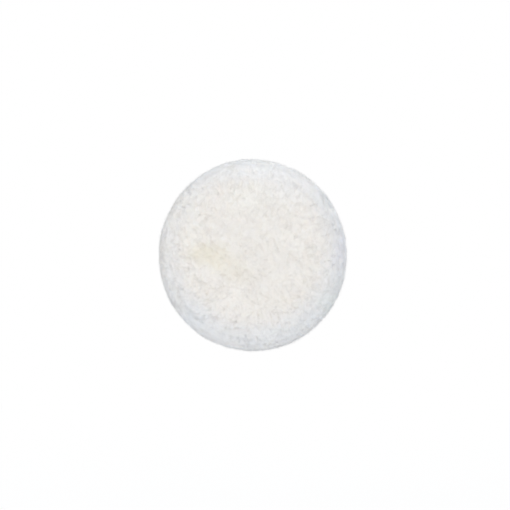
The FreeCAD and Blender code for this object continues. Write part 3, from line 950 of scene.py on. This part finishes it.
def wool(name, fibre):
    """Bleached wool: warm cream on the face, cooler where the nap turns over the edge. The cool
    rim colour reaches further in towards the bottom and is partly the wool's own tint, partly
    painted shade and painted cool light.
    """
    g = Surface(name)
    warm, cool = (0.902, 0.864, 0.829), (0.850, 0.862, 0.878)
    wander = g.math("SUBTRACT", g.noise(22 * MM, detail=2.0), 0.5)
    r = g.add(g.math("DIVIDE", g.radius(), NAP_R), g.times(wander, 0.10))
    x, y, z = g.split()
    face_x = g.math("DIVIDE", g.math("SUBTRACT", x, CX), NAP_R)
    face_z = g.math("DIVIDE", g.math("SUBTRACT", z, CZ), NAP_R)
    # the rim band is pushed further in towards the bottom: painted shade on the lower side
    rim = g.math("SUBTRACT", r, g.times(face_z, 0.12))
    rim = g.range(rim, span=(0.60, 0.98), eased=True)
    front = g.range(y, span=(FACE_Y + 12 * MM, FACE_Y + 18 * MM), to=(1.0, 0.12), eased=True)
    # the cool rim colour: partly the wool's own tint, partly painted shade and painted cool light
    # where the nap turns over the edge
    rim_tint_and_painted_shade = g.times(rim, g.range(front, span=(0.12, 1.0), to=(0.45, 1.0)))
    colour = g.mix(rim_tint_and_painted_shade, warm, cool)
    # each patch is either the wool's own tone or painted light and shade: shade along the parting
    # and round the rim, light towards the top
    for tint_x, tint_z, half_x, half_z, strength, tint in WOOL_TINTS_AND_PAINTED_LIGHT:
        dx = g.math("DIVIDE", g.math("SUBTRACT", face_x, tint_x), half_x)
        dz = g.math("DIVIDE", g.math("SUBTRACT", face_z, tint_z), half_z)
        away = g.math("SQRT", g.add(g.times(dx, dx), g.times(dz, dz)))
        away = g.add(away, g.times(wander, 0.8))
        tint_and_light_patch = g.range(away, span=(0.15, 1.0), to=(strength, 0.0), eased=True)
        colour = g.mix(g.times(tint_and_light_patch, front), colour, tint)
    colour = g.mix(1.0, colour, over=(1.055, 1.055, 1.055), mode="MULTIPLY")
    mottle = g.noise(8 * MM, detail=2.0)
    colour = g.shade(colour, g.range(mottle, span=(0.3, 0.7), to=(0.988, 1.008)))
    if fibre:
        tone = g.node("Attribute")
        tone.attribute_name = "tone"
        tone = g.range(tone.outputs["Fac"], span=(0.0, 1.0), to=(0.935, 1.055))
        colour = g.shade(colour, tone)
    else:
        fine = g.noise(0.9 * MM, detail=4.0, rough=0.6, stretch=(1, 1, 0.35),
                       turn=(0.3, 0.5, 0.2))
        colour = g.layer(fine, span=(0.35, 0.75), to=(0.0, 0.06), under=colour,
                         over=(0.84, 0.81, 0.76))
        g.set(Normal=g.bump(fine, strength=0.4, distance=0.25 * MM))
    g.set(Base_Color=colour,
          Roughness=g.range(g.noise(3 * MM), span=(0.3, 0.7), to=(0.84, 0.97)),
          Sheen_Weight=0.12, Sheen_Roughness=0.6, Sheen_Tint=(1.0, 0.99, 0.97),
          Specular_IOR_Level=0.08,
          Subsurface_Weight=0.35 if fibre else 0.6,
          Subsurface_Radius=(1.0, 0.92, 0.82),
          Subsurface_Scale=(0.6 if fibre else 1.6) * MM)
    return g.mat


def turned_metal(name, tint, rough, ring, stain, stained):
    """Metal with fine tool rings about the spin axis, blotches, smears and worn edges."""
    g = Surface(name)
    y = g.split()[1]
    section = g.node("CombineXYZ")
    g.plug(section.inputs[0], g.radius())
    g.plug(section.inputs[1], y)
    section = g.mapped(source=section.outputs[0])
    tool = g.noise(ring, detail=4.0, rough=0.7, source=section)
    coarse = g.noise(ring * 6, detail=2.0, source=section)
    blotch = g.noise(5 * MM, detail=4.0, rough=0.62)
    smear = g.noise(1.6 * MM, detail=4.0, rough=0.65, distort=0.8)
    scratch = g.noise(0.9 * MM, detail=2.0, stretch=(1.0, 0.08, 0.5), turn=(0.5, 0.3, 0.8))
    colour = g.layer(blotch, span=(0.38, 0.68), under=tint, over=scaled(tint, 0.84))
    colour = g.layer(tool, span=(0.35, 0.7), to=(0.0, 0.25), under=colour,
                     over=scaled(tint, 1.22))
    colour = g.layer(smear, span=(0.56, 0.78), to=(0.0, stained), under=colour, over=stain)
    colour = g.mix(g.times(g.edges(0.22 * MM), 0.45), colour, scaled(tint, 1.35))
    colour = g.layer(scratch, span=(0.62, 0.76), to=(0.0, 0.18), under=colour,
                     over=scaled(tint, 1.25))
    roughness = g.add(g.range(tool, span=(0.3, 0.7), to=(rough - 0.05, rough + 0.07)),
                      g.range(smear, span=(0.45, 0.75), to=(0.0, 0.14)),
                      g.range(blotch, span=(0.4, 0.7), to=(-0.03, 0.05)))
    normal = g.bump(coarse, strength=0.15, distance=0.03 * MM)
    normal = g.bump(tool, strength=0.30, distance=0.02 * MM, normal=normal)
    normal = g.bump(smear, strength=0.08, distance=0.04 * MM, normal=normal)
    g.set(Base_Color=colour, Metallic=1.0, Roughness=roughness, Normal=normal,
          Anisotropic=0.35)
    return g.mat


def nylon():
    """Glass-filled nylon: moulded grain, flow clouds, glass flecks, scuffs, dust, worn edges."""
    g = Surface("glass_filled_nylon")
    grain = g.noise(0.30 * MM, rough=0.6)
    pebble = g.voronoi(0.75 * MM)
    flow = g.noise(9 * MM, detail=4.0, rough=0.6, distort=1.2)
    fleck = g.noise(0.7 * MM, detail=2.0, stretch=(1, 0.25, 0.25), turn=(0.4, 0.9, 0.2))
    scuff = g.noise(2.2 * MM, detail=4.0, rough=0.7, distort=0.4, stretch=(0.22, 1, 1.6),
                    turn=(0.0, 0.6, 0.0))
    dust = g.range(g.noise(1.4 * MM, detail=4.0, rough=0.7), span=(0.57, 0.76), to=(0.0, 0.40))
    wear = g.range(g.noise(2 * MM), span=(0.38, 0.62), to=(0.25, 0.9))
    colour = g.layer(flow, span=(0.35, 0.7), under=(0.018, 0.018, 0.020),
                     over=(0.036, 0.036, 0.039))
    colour = g.layer(fleck, span=(0.60, 0.72), to=(0.0, 0.5), under=colour,
                     over=(0.070, 0.070, 0.074))
    colour = g.layer(scuff, span=(0.58, 0.74), to=(0.0, 0.45), under=colour,
                     over=(0.095, 0.095, 0.098))
    colour = g.mix(g.times(g.edges(0.5 * MM), wear), colour, over=(0.15, 0.15, 0.152))
    colour = g.mix(dust, colour, over=(0.19, 0.185, 0.172))
    roughness = g.add(g.range(flow, span=(0.3, 0.7), to=(0.38, 0.54)),
                      g.range(grain, span=(0.3, 0.7), to=(-0.05, 0.07)),
                      g.times(dust, 0.4),
                      g.range(scuff, span=(0.55, 0.75), to=(0.0, 0.12)))
    normal = g.bump(flow, strength=0.15, distance=0.3 * MM)
    normal = g.bump(pebble, strength=0.25, distance=0.06 * MM, normal=normal)
    normal = g.bump(grain, strength=0.45, distance=0.06 * MM, normal=normal)
    g.set(Base_Color=colour, Roughness=roughness, Specular_IOR_Level=0.5, Normal=normal)
    return g.mat


def charcoal_foam():
    g = Surface("charcoal_foam")
    cell = g.voronoi(0.55 * MM)
    large = g.voronoi(1.25 * MM)
    tone = g.noise(6 * MM, rough=0.55)
    lint = g.noise(0.8 * MM, detail=2.0, rough=0.6, stretch=(1, 1, 0.2), turn=(0.5, 0.2, 0.9))
    colour = g.layer(tone, span=(0.3, 0.7), under=(0.060, 0.060, 0.066),
                     over=(0.085, 0.085, 0.090))
    colour = g.layer(cell, span=(0.12, 0.45), under=(0.030, 0.030, 0.033), over=colour)
    colour = g.layer(large, span=(0.10, 0.34), under=(0.026, 0.026, 0.026), over=colour)
    colour = g.layer(lint, span=(0.68, 0.76), to=(0.0, 0.5), under=colour,
                     over=(0.42, 0.41, 0.38))
    normal = g.bump(tone, strength=0.2, distance=0.3 * MM)
    g.set(Base_Color=colour, Roughness=g.range(cell, span=(0.1, 0.5), to=(0.98, 0.84)),
          Specular_IOR_Level=0.2, Sheen_Weight=0.15, Sheen_Roughness=0.6,
          Normal=g.bump(cell, strength=0.7, distance=0.10 * MM, normal=normal))
    return g.mat


def hook_plastic(name, painted_lightness):
    """Near-black moulded plastic with lint caught on it. The second argument scales its colour;
    above 1 it paints the plastic lighter, as if lit.
    """
    g = Surface(name)
    flow = g.noise(4 * MM, rough=0.55)
    fine = g.noise(0.2 * MM, detail=2.0)
    lint = g.noise(1.5 * MM, rough=0.65, stretch=(1, 1, 0.3))
    colour = g.layer(flow, span=(0.3, 0.7), under=(0.022 * painted_lightness,) * 3,
                     over=(0.036 * painted_lightness,) * 3)
    colour = g.layer(lint, span=(0.62, 0.74), to=(0.0, 0.55), under=colour,
                     over=(0.45, 0.44, 0.41))
    g.set(Base_Color=colour, Roughness=g.range(flow, span=(0.3, 0.7), to=(0.34, 0.52)),
          Specular_IOR_Level=0.5, Normal=g.bump(fine, strength=0.2, distance=0.03 * MM))
    return g.mat


def knit(name, light, dark, yarn):
    """Cloth with fine ribs both ways, uneven yarn and slight soiling."""
    g = Surface(name)
    ribs = g.times(g.wave(yarn, "X", distort=0.6), g.wave(yarn * 1.3, "Z", distort=0.6))
    soft = g.noise(0.35 * MM, rough=0.6)
    tone = g.noise(7 * MM, detail=4.0, rough=0.6)
    height = g.add(g.times(ribs, 0.7), g.times(soft, 0.5))
    colour = g.layer(height, span=(0.15, 0.75), under=dark, over=light)
    colour = g.layer(tone, span=(0.52, 0.72), to=(0.0, 0.35), under=colour,
                     over=scaled(dark, 0.88))
    g.set(Base_Color=colour, Roughness=g.range(soft, span=(0.3, 0.7), to=(0.84, 0.97)),
          Specular_IOR_Level=0.15, Sheen_Weight=0.2, Sheen_Roughness=0.5,
          Normal=g.bump(height, strength=0.6, distance=0.12 * MM))
    return g.mat


def felt():
    g = Surface("pressed_felt")
    light, dark = (0.80, 0.77, 0.70), (0.64, 0.60, 0.52)
    hairs = [g.noise(0.5 * MM, detail=4.0, rough=0.65, distort=0.8, stretch=stretch, turn=turn)
             for stretch, turn in (((1, 0.3, 1), (0.3, 0.1, 0.7)),
                                   ((0.3, 1, 1), (0.9, 0.5, 0.1)))]
    height = g.math("MAXIMUM", *hairs)
    tone = g.noise(5 * MM, rough=0.6)
    colour = g.layer(height, span=(0.45, 0.7), under=dark, over=light)
    colour = g.layer(tone, span=(0.4, 0.7), to=(0.0, 0.4), under=colour, over=dark)
    g.set(Base_Color=colour, Roughness=g.range(height, span=(0.4, 0.7), to=(0.97, 0.86)),
          Specular_IOR_Level=0.12, Sheen_Weight=0.2,
          Normal=g.bump(height, strength=0.6, distance=0.12 * MM))
    return g.mat


def latex():
    """Brushed latex with small bubbles."""
    g = Surface("latex_coat")
    brush = g.noise(1.2 * MM, detail=4.0, rough=0.6, stretch=(1, 1, 0.15), turn=(0, 0.4, 0))
    bubble = g.voronoi(0.9 * MM)
    colour = g.layer(brush, span=(0.35, 0.7), under=(0.62, 0.52, 0.33), over=(0.74, 0.66, 0.47))
    colour = g.layer(bubble, span=(0.0, 0.22), to=(0.5, 0.0), under=colour,
                     over=(0.50, 0.40, 0.24))
    normal = g.bump(bubble, strength=0.2, distance=0.05 * MM)
    g.set(Base_Color=colour, Roughness=g.range(brush, span=(0.3, 0.7), to=(0.40, 0.62)),
          Subsurface_Weight=0.2, Subsurface_Radius=(1, 0.8, 0.5), Subsurface_Scale=0.8 * MM,
          Normal=g.bump(brush, strength=0.4, distance=0.08 * MM, normal=normal))
    return g.mat


def yarn(name, dark, light):
    g = Surface(name)
    fine = g.noise(0.10 * MM, rough=0.6, stretch=(1, 0.4, 1))
    tone = g.noise(3 * MM)
    colour = g.layer(fine, span=(0.3, 0.7), under=dark, over=light)
    colour = g.layer(tone, span=(0.5, 0.75), to=(0.0, 0.4), under=colour,
                     over=(0.62, 0.60, 0.55))
    g.set(Base_Color=colour, Roughness=g.range(fine, span=(0.3, 0.7), to=(0.48, 0.68)),
          Sheen_Weight=0.25, Sheen_Roughness=0.35,
          Normal=g.bump(fine, strength=0.4, distance=0.03 * MM))
    return g.mat


def red_fibre():
    """Vulcanised fibre: pressed paper, slightly glossy, paler on worn edges."""
    g = Surface("red_vulcanised_fibre")
    ply = g.noise(0.25 * MM, rough=0.6, stretch=(0.3, 3, 0.3))
    hair = g.noise(0.7 * MM, detail=4.0, rough=0.7, distort=1.0)
    colour = g.layer(hair, span=(0.35, 0.7), under=(0.30, 0.030, 0.022),
                     over=(0.43, 0.060, 0.040))
    colour = g.layer(ply, span=(0.5, 0.75), to=(0.0, 0.4), under=colour,
                     over=(0.22, 0.02, 0.016))
    colour = g.mix(g.times(g.edges(0.15 * MM), 0.5), colour, over=(0.55, 0.16, 0.12))
    normal = g.bump(hair, strength=0.2, distance=0.05 * MM)
    g.set(Base_Color=colour, Roughness=g.range(hair, span=(0.3, 0.7), to=(0.42, 0.60)),
          Normal=g.bump(ply, strength=0.3, distance=0.04 * MM, normal=normal))
    return g.mat


def adhesive():
    """Thin amber contact adhesive with trapped bubbles."""
    g = Surface("contact_adhesive")
    bubble = g.voronoi(0.7 * MM)
    flow = g.noise(3 * MM, rough=0.6, distort=0.6)
    colour = g.layer(flow, span=(0.3, 0.7), under=(0.46, 0.36, 0.20), over=(0.60, 0.50, 0.32))
    colour = g.layer(bubble, span=(0.0, 0.2), to=(0.6, 0.0), under=colour,
                     over=(0.36, 0.27, 0.14))
    normal = g.bump(flow, strength=0.2, distance=0.08 * MM)
    g.set(Base_Color=colour, Roughness=g.range(flow, span=(0.3, 0.7), to=(0.18, 0.34)),
          Coat_Weight=0.3, Coat_Roughness=0.15,
          Normal=g.bump(bubble, strength=0.3, distance=0.05 * MM, normal=normal))
    return g.mat


def glass_fibre():
    """Woven glass cloth in amber-green resin, the cut edge darker."""
    g = Surface("glass_fibre_laminate")
    strand = 0.75 * MM
    checker = g.node("TexChecker")
    g.plug(checker.inputs["Vector"], g.mapped((1, 0, 1)))
    checker.inputs["Scale"].default_value = 1 / strand
    weave = g.mix(checker.outputs["Fac"], g.wave(strand, "X", distort=0.25),
                  g.wave(strand, "Z", distort=0.25))
    ply = g.noise(0.22 * MM, rough=0.6, stretch=(0.2, 3, 0.2))
    cloud = g.noise(8 * MM, rough=0.6)
    colour = g.layer(weave, span=(0.1, 0.9), under=(0.19, 0.20, 0.11), over=(0.36, 0.37, 0.25))
    colour = g.layer(cloud, span=(0.45, 0.7), to=(0.0, 0.5), under=colour,
                     over=(0.30, 0.27, 0.14))
    colour = g.layer(ply, span=(0.55, 0.75), to=(0.0, 0.4), under=colour,
                     over=(0.46, 0.45, 0.36))
    colour = g.layer(g.radius(), span=(GLASS_R - 0.6 * MM, GLASS_R - 0.1 * MM),
                     to=(0.0, 0.62), under=colour, over=(0.13, 0.13, 0.07))
    normal = g.bump(ply, strength=0.2, distance=0.03 * MM)
    g.set(Base_Color=colour, Roughness=g.range(cloud, span=(0.3, 0.7), to=(0.34, 0.52)),
          Coat_Weight=0.2, Coat_Roughness=0.3,
          Normal=g.bump(weave, strength=0.35, distance=0.06 * MM, normal=normal))
    return g.mat


def dress(ob, mat):
    if ob.data.materials:
        for slot in ob.material_slots:
            slot.material = mat
    else:
        ob.data.materials.append(mat)


for mat, dressed in (
    (adhesive(), [cad["hook_bond_film"], cad["foam_bond_film"]]),
    (glass_fibre(), [cad["glass_fibre_disc"]]),
    (wool("wool_mass", fibre=False), [nap]),
    (wool("wool_fibre", fibre=True), fibre_objects),
    (turned_metal("zinc_plated_steel", tint=(0.60, 0.60, 0.56), rough=0.30, ring=0.45 * MM,
                  stain=(0.52, 0.46, 0.30), stained=0.25),
     [cad["hub_insert"], cad["rivet_ring"]]),
    (turned_metal("turned_steel", tint=(0.54, 0.54, 0.54), rough=0.22, ring=0.22 * MM,
                  stain=(0.30, 0.27, 0.23), stained=0.35), [cad["arbor"]]),
    (turned_metal("rivet_steel", tint=(0.62, 0.62, 0.60), rough=0.32, ring=0.6 * MM,
                  stain=(0.42, 0.40, 0.34), stained=0.2), [cad["hub_rivets"]]),
    (nylon(), [cad["backing_plate"]]),
    (charcoal_foam(), [foam]),
    # the hooks and the film are one plastic; the hooks are painted half again lighter than the
    # film, as if lit
    (hook_plastic("hook_film", painted_lightness=1.0), [film]),
    (hook_plastic("moulded_hooks", painted_lightness=1.5), [hooks]),
    (knit("loop_backing_knit", light=(0.78, 0.78, 0.76), dark=(0.58, 0.58, 0.56),
          yarn=0.9 * MM), [loop_base]),
    (yarn("brushed_loops", dark=(0.70, 0.68, 0.62), light=(0.86, 0.85, 0.80)), [loops]),
    (yarn("stitching_thread", dark=(0.80, 0.79, 0.75), light=(0.93, 0.92, 0.88)), [thread]),
    (knit("carrier_knit", light=(0.74, 0.72, 0.66), dark=(0.55, 0.53, 0.47),
          yarn=1.1 * MM), [cloth]),
    (felt(), [cad["felt_core"]]),
    (latex(), [cad["latex_backcoat"]]),
    (red_fibre(), [cad["fibre_washer"]]),
):
    for ob in dressed:
        dress(ob, mat)

# ------------------------------------------------------------------ bodies
# objects, the body they ride, the frame piece they replace, their slot
for group, body, piece, slot in (
    ([nap] + fibre_objects, "pad", "wool_pile", "wool"),
    ([cloth], "pad", "carrier_cloth", "carrier_cloth"),
    ([loop_base, loops], "pad", "loop_disc", "loop_fabric"),
    ([thread], "pad", "hem_stitching", "thread"),
    ([film, hooks], "face", "hook_disc", "hook_sheet"),
):
    for ob in group:
        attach(ob, body)
        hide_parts(piece)
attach(foam, "hub")
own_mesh(foam)
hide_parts("foam_cushion")

# ------------------------------------------------------------------ stage, light and camera
DOME_LOW, DOME_HIGH = 0.835, 0.87     # strength of the world light from below and from above
FLOOR_GLOW = 0.915                    # light the floor sends up into the nap
FLOOR_HALF = 3
centre = Vector(((cad_box[0][0] + cad_box[1][0]) / 2, 0, (cad_box[0][2] + cad_box[1][2]) / 2))


def pale_floor():
    g = Surface("pale_floor")
    tone = g.noise(0.05)
    g.set(Base_Color=g.layer(tone, span=(0.3, 0.7), under=(0.90, 0.90, 0.90),
                             over=(0.93, 0.93, 0.93)),
          Roughness=0.9, Specular_IOR_Level=0.1)
    glow = g.node("Emission")
    g.plug(glow.inputs[0], (1, 1, 1))
    mixer = g.node("MixShader")
    facing = g.node("LayerWeight")
    facing.inputs[0].default_value = 0.5
    camera_ray = g.node("LightPath").outputs["Is Camera Ray"]
    # seen at a shallow angle the floor melts into the white background
    shallow = g.range(facing.outputs["Facing"], span=(0.55, 0.86), eased=True)
    graze = g.times(shallow, camera_ray)
    # and, like a light table, it glows evenly for every other ray
    indirect = g.math("SUBTRACT", 1.0, camera_ray)
    g.plug(glow.inputs[1], g.add(camera_ray, g.times(indirect, FLOOR_GLOW)))
    g.plug(mixer.inputs[0], g.add(graze, indirect))
    g.plug(mixer.inputs[1], g.shader.outputs[0])
    g.plug(mixer.inputs[2], glow.outputs[0])
    g.plug(g.out.inputs[0], mixer.outputs[0])
    return g.mat


def studio_world():
    """Light from all round; glossy rays see a darker lower half, so metal keeps its form."""
    world = bpy.data.worlds.new("studio")
    scene.world = world
    g = Graph(world)
    up = g.split(g.coords.outputs["Generated"])[2]
    dome = g.range(up, span=(-1.0, 1.0), to=(DOME_LOW, DOME_HIGH))
    tent = g.node("ValToRGB")
    g.plug(tent.inputs[0], up)
    # position and grey of each stop; adding a stop can shift the ones already held, so the
    # order of taking, adding and writing them matters
    stops = tent.color_ramp.elements
    held = [stops[0], stops[1]] + [stops.new(0.5) for _ in range(2)]
    for stop, (at, grey) in zip(held, ((0.0, 0.14), (0.95, 1.15), (0.18, 0.26), (0.5, 0.80))):
        stop.position = at
        stop.color = (grey, grey, grey, 1)
    paths = g.node("LightPath")
    strength = g.node("Mix")
    g.plug(strength.inputs[0], paths.outputs["Is Glossy Ray"])
    g.plug(strength.inputs[2], dome)
    g.plug(strength.inputs[3], tent.outputs[0])
    mixer = g.node("MixShader")
    g.plug(mixer.inputs[0], paths.outputs["Is Camera Ray"])
    for i, colour, power in ((1, (0.93, 0.965, 1.0), strength.outputs[0]),
                             (2, (1, 1, 1), 1.0)):
        background = g.node("Background")
        g.plug(background.inputs[0], colour)
        g.plug(background.inputs[1], power)
        g.plug(mixer.inputs[i], background.outputs[0])
    g.plug(g.node("OutputWorld").inputs[0], mixer.outputs[0])


def softbox(name, place, size, power, colour):
    """A round area light aimed at the middle of the wheel."""
    data = bpy.data.lights.new(name, "AREA")
    data.shape = "DISK"
    data.size = size
    data.energy = power
    data.color = colour
    ob = bpy.data.objects.new(name, data)
    ob.location = place
    ob.rotation_mode = "QUATERNION"
    ob.rotation_quaternion = (centre - Vector(place)).to_track_quat("-Z", "Y")
    scene.collection.objects.link(ob)
    ob.visible_camera = False


def add_camera():
    """In front of the face, a little to +X and above, looking back along +Y."""
    azimuth, elevation = math.radians(4.0), math.radians(1.0)
    distance = 0.617
    shift_right, shift_up = 1.434685 * MM, 0.307433 * MM
    data = bpy.data.cameras.new("camera")
    data.lens = 85
    data.sensor_width = 36
    data.clip_start = 0.01
    data.clip_end = 10.0
    camera = bpy.data.objects.new("camera", data)
    scene.collection.objects.link(camera)
    scene.camera = camera
    back = Vector((math.sin(azimuth) * math.cos(elevation),
                   -math.cos(azimuth) * math.cos(elevation), math.sin(elevation)))
    turn = (-back).to_track_quat("-Z", "Y")
    camera.rotation_mode = "QUATERNION"
    camera.rotation_quaternion = turn
    aim = Vector((centre.x, FACE_Y + 0.013, centre.z))
    camera.location = aim + back * distance + turn @ Vector((shift_right, shift_up, 0))


floor_z = cad_box[0][2] - 0.4 * MM
floor_corners = [(x * FLOOR_HALF, y * FLOOR_HALF, floor_z)
                 for x, y in ((-1, -1), (1, -1), (1, 1), (-1, 1))]
floor = mesh_object("floor", floor_corners, [(0, 1, 2, 3)], smooth_shade=False)
dress(floor, pale_floor())

studio_world()
softbox("key", place=(-0.10, -1.2, 0.55), size=0.9, power=2.8, colour=(1.0, 0.95, 0.88))
softbox("top", place=(0.05, -0.1, 1.2), size=0.8, power=1.3, colour=(0.98, 0.99, 1.0))
softbox("rear", place=(0.7, 1.0, 0.55), size=0.6, power=3.0, colour=(1.0, 0.98, 0.95))
add_camera()

scene.view_settings.view_transform = "Standard"
scene.view_settings.look = "None"
